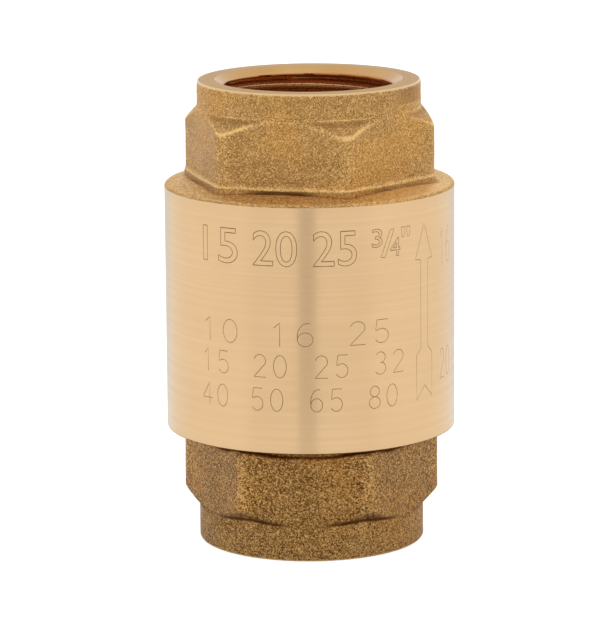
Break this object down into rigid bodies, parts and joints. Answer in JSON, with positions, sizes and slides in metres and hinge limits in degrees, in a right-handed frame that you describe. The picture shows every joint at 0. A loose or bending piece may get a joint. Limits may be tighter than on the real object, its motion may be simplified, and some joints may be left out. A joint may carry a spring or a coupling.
{
  "type": "inline spring check valve",
  "caption": "Brass inline spring check valve with a pipe-thread socket and a wrench hexagon at each end, a turned band, and a spring-loaded poppet on a stem.",
  "frame": {"origin": "centre of the inlet end face, on the valve's axis", "axes": "+Z along the axis in the direction of flow, from inlet to outlet; -Y towards the front, where the flow arrow is to the right"},
  "size_m": [0.0414, 0.0414, 0.0667],
  "materials": {
    "forged_brass": "hot-forged and shot-blasted brass, matt and fine-grained, with turned faces and threads",
    "turned_brass": "fine turned brass",
    "spring_steel": "drawn stainless spring wire",
    "stainless_steel": "plain stainless steel",
    "nitrile": "moulded black nitrile rubber"
  },
  "bodies": {
    "housing": {"valve_body": "forged_brass", "end_connector": "forged_brass", "body_o_ring": "nitrile", "stem_guide": "turned_brass"},
    "spring_seat": {"spring_washer": "stainless_steel", "valve_spring": "spring_steel"},
    "poppet": {"poppet_stem": "turned_brass", "poppet_disc": "turned_brass", "poppet_seal": "nitrile", "seal_retainer": "turned_brass", "stem_nut": "stainless_steel"}
  },
  "joints": [
    {"name": "poppet_lift", "type": "slide", "parent": "housing", "child": "spring_seat", "axis": [0, 0, 1], "range_m": [0, 0.006], "stiffness_N_per_m": 120, "springref_m": -0.006, "deforming": ["valve_spring"]},
    {"name": "poppet_turn", "type": "hinge", "parent": "spring_seat", "child": "poppet", "pos_m": [0, 0, 0.03], "axis": [0, 0, 1], "continuous": true}
  ]
}
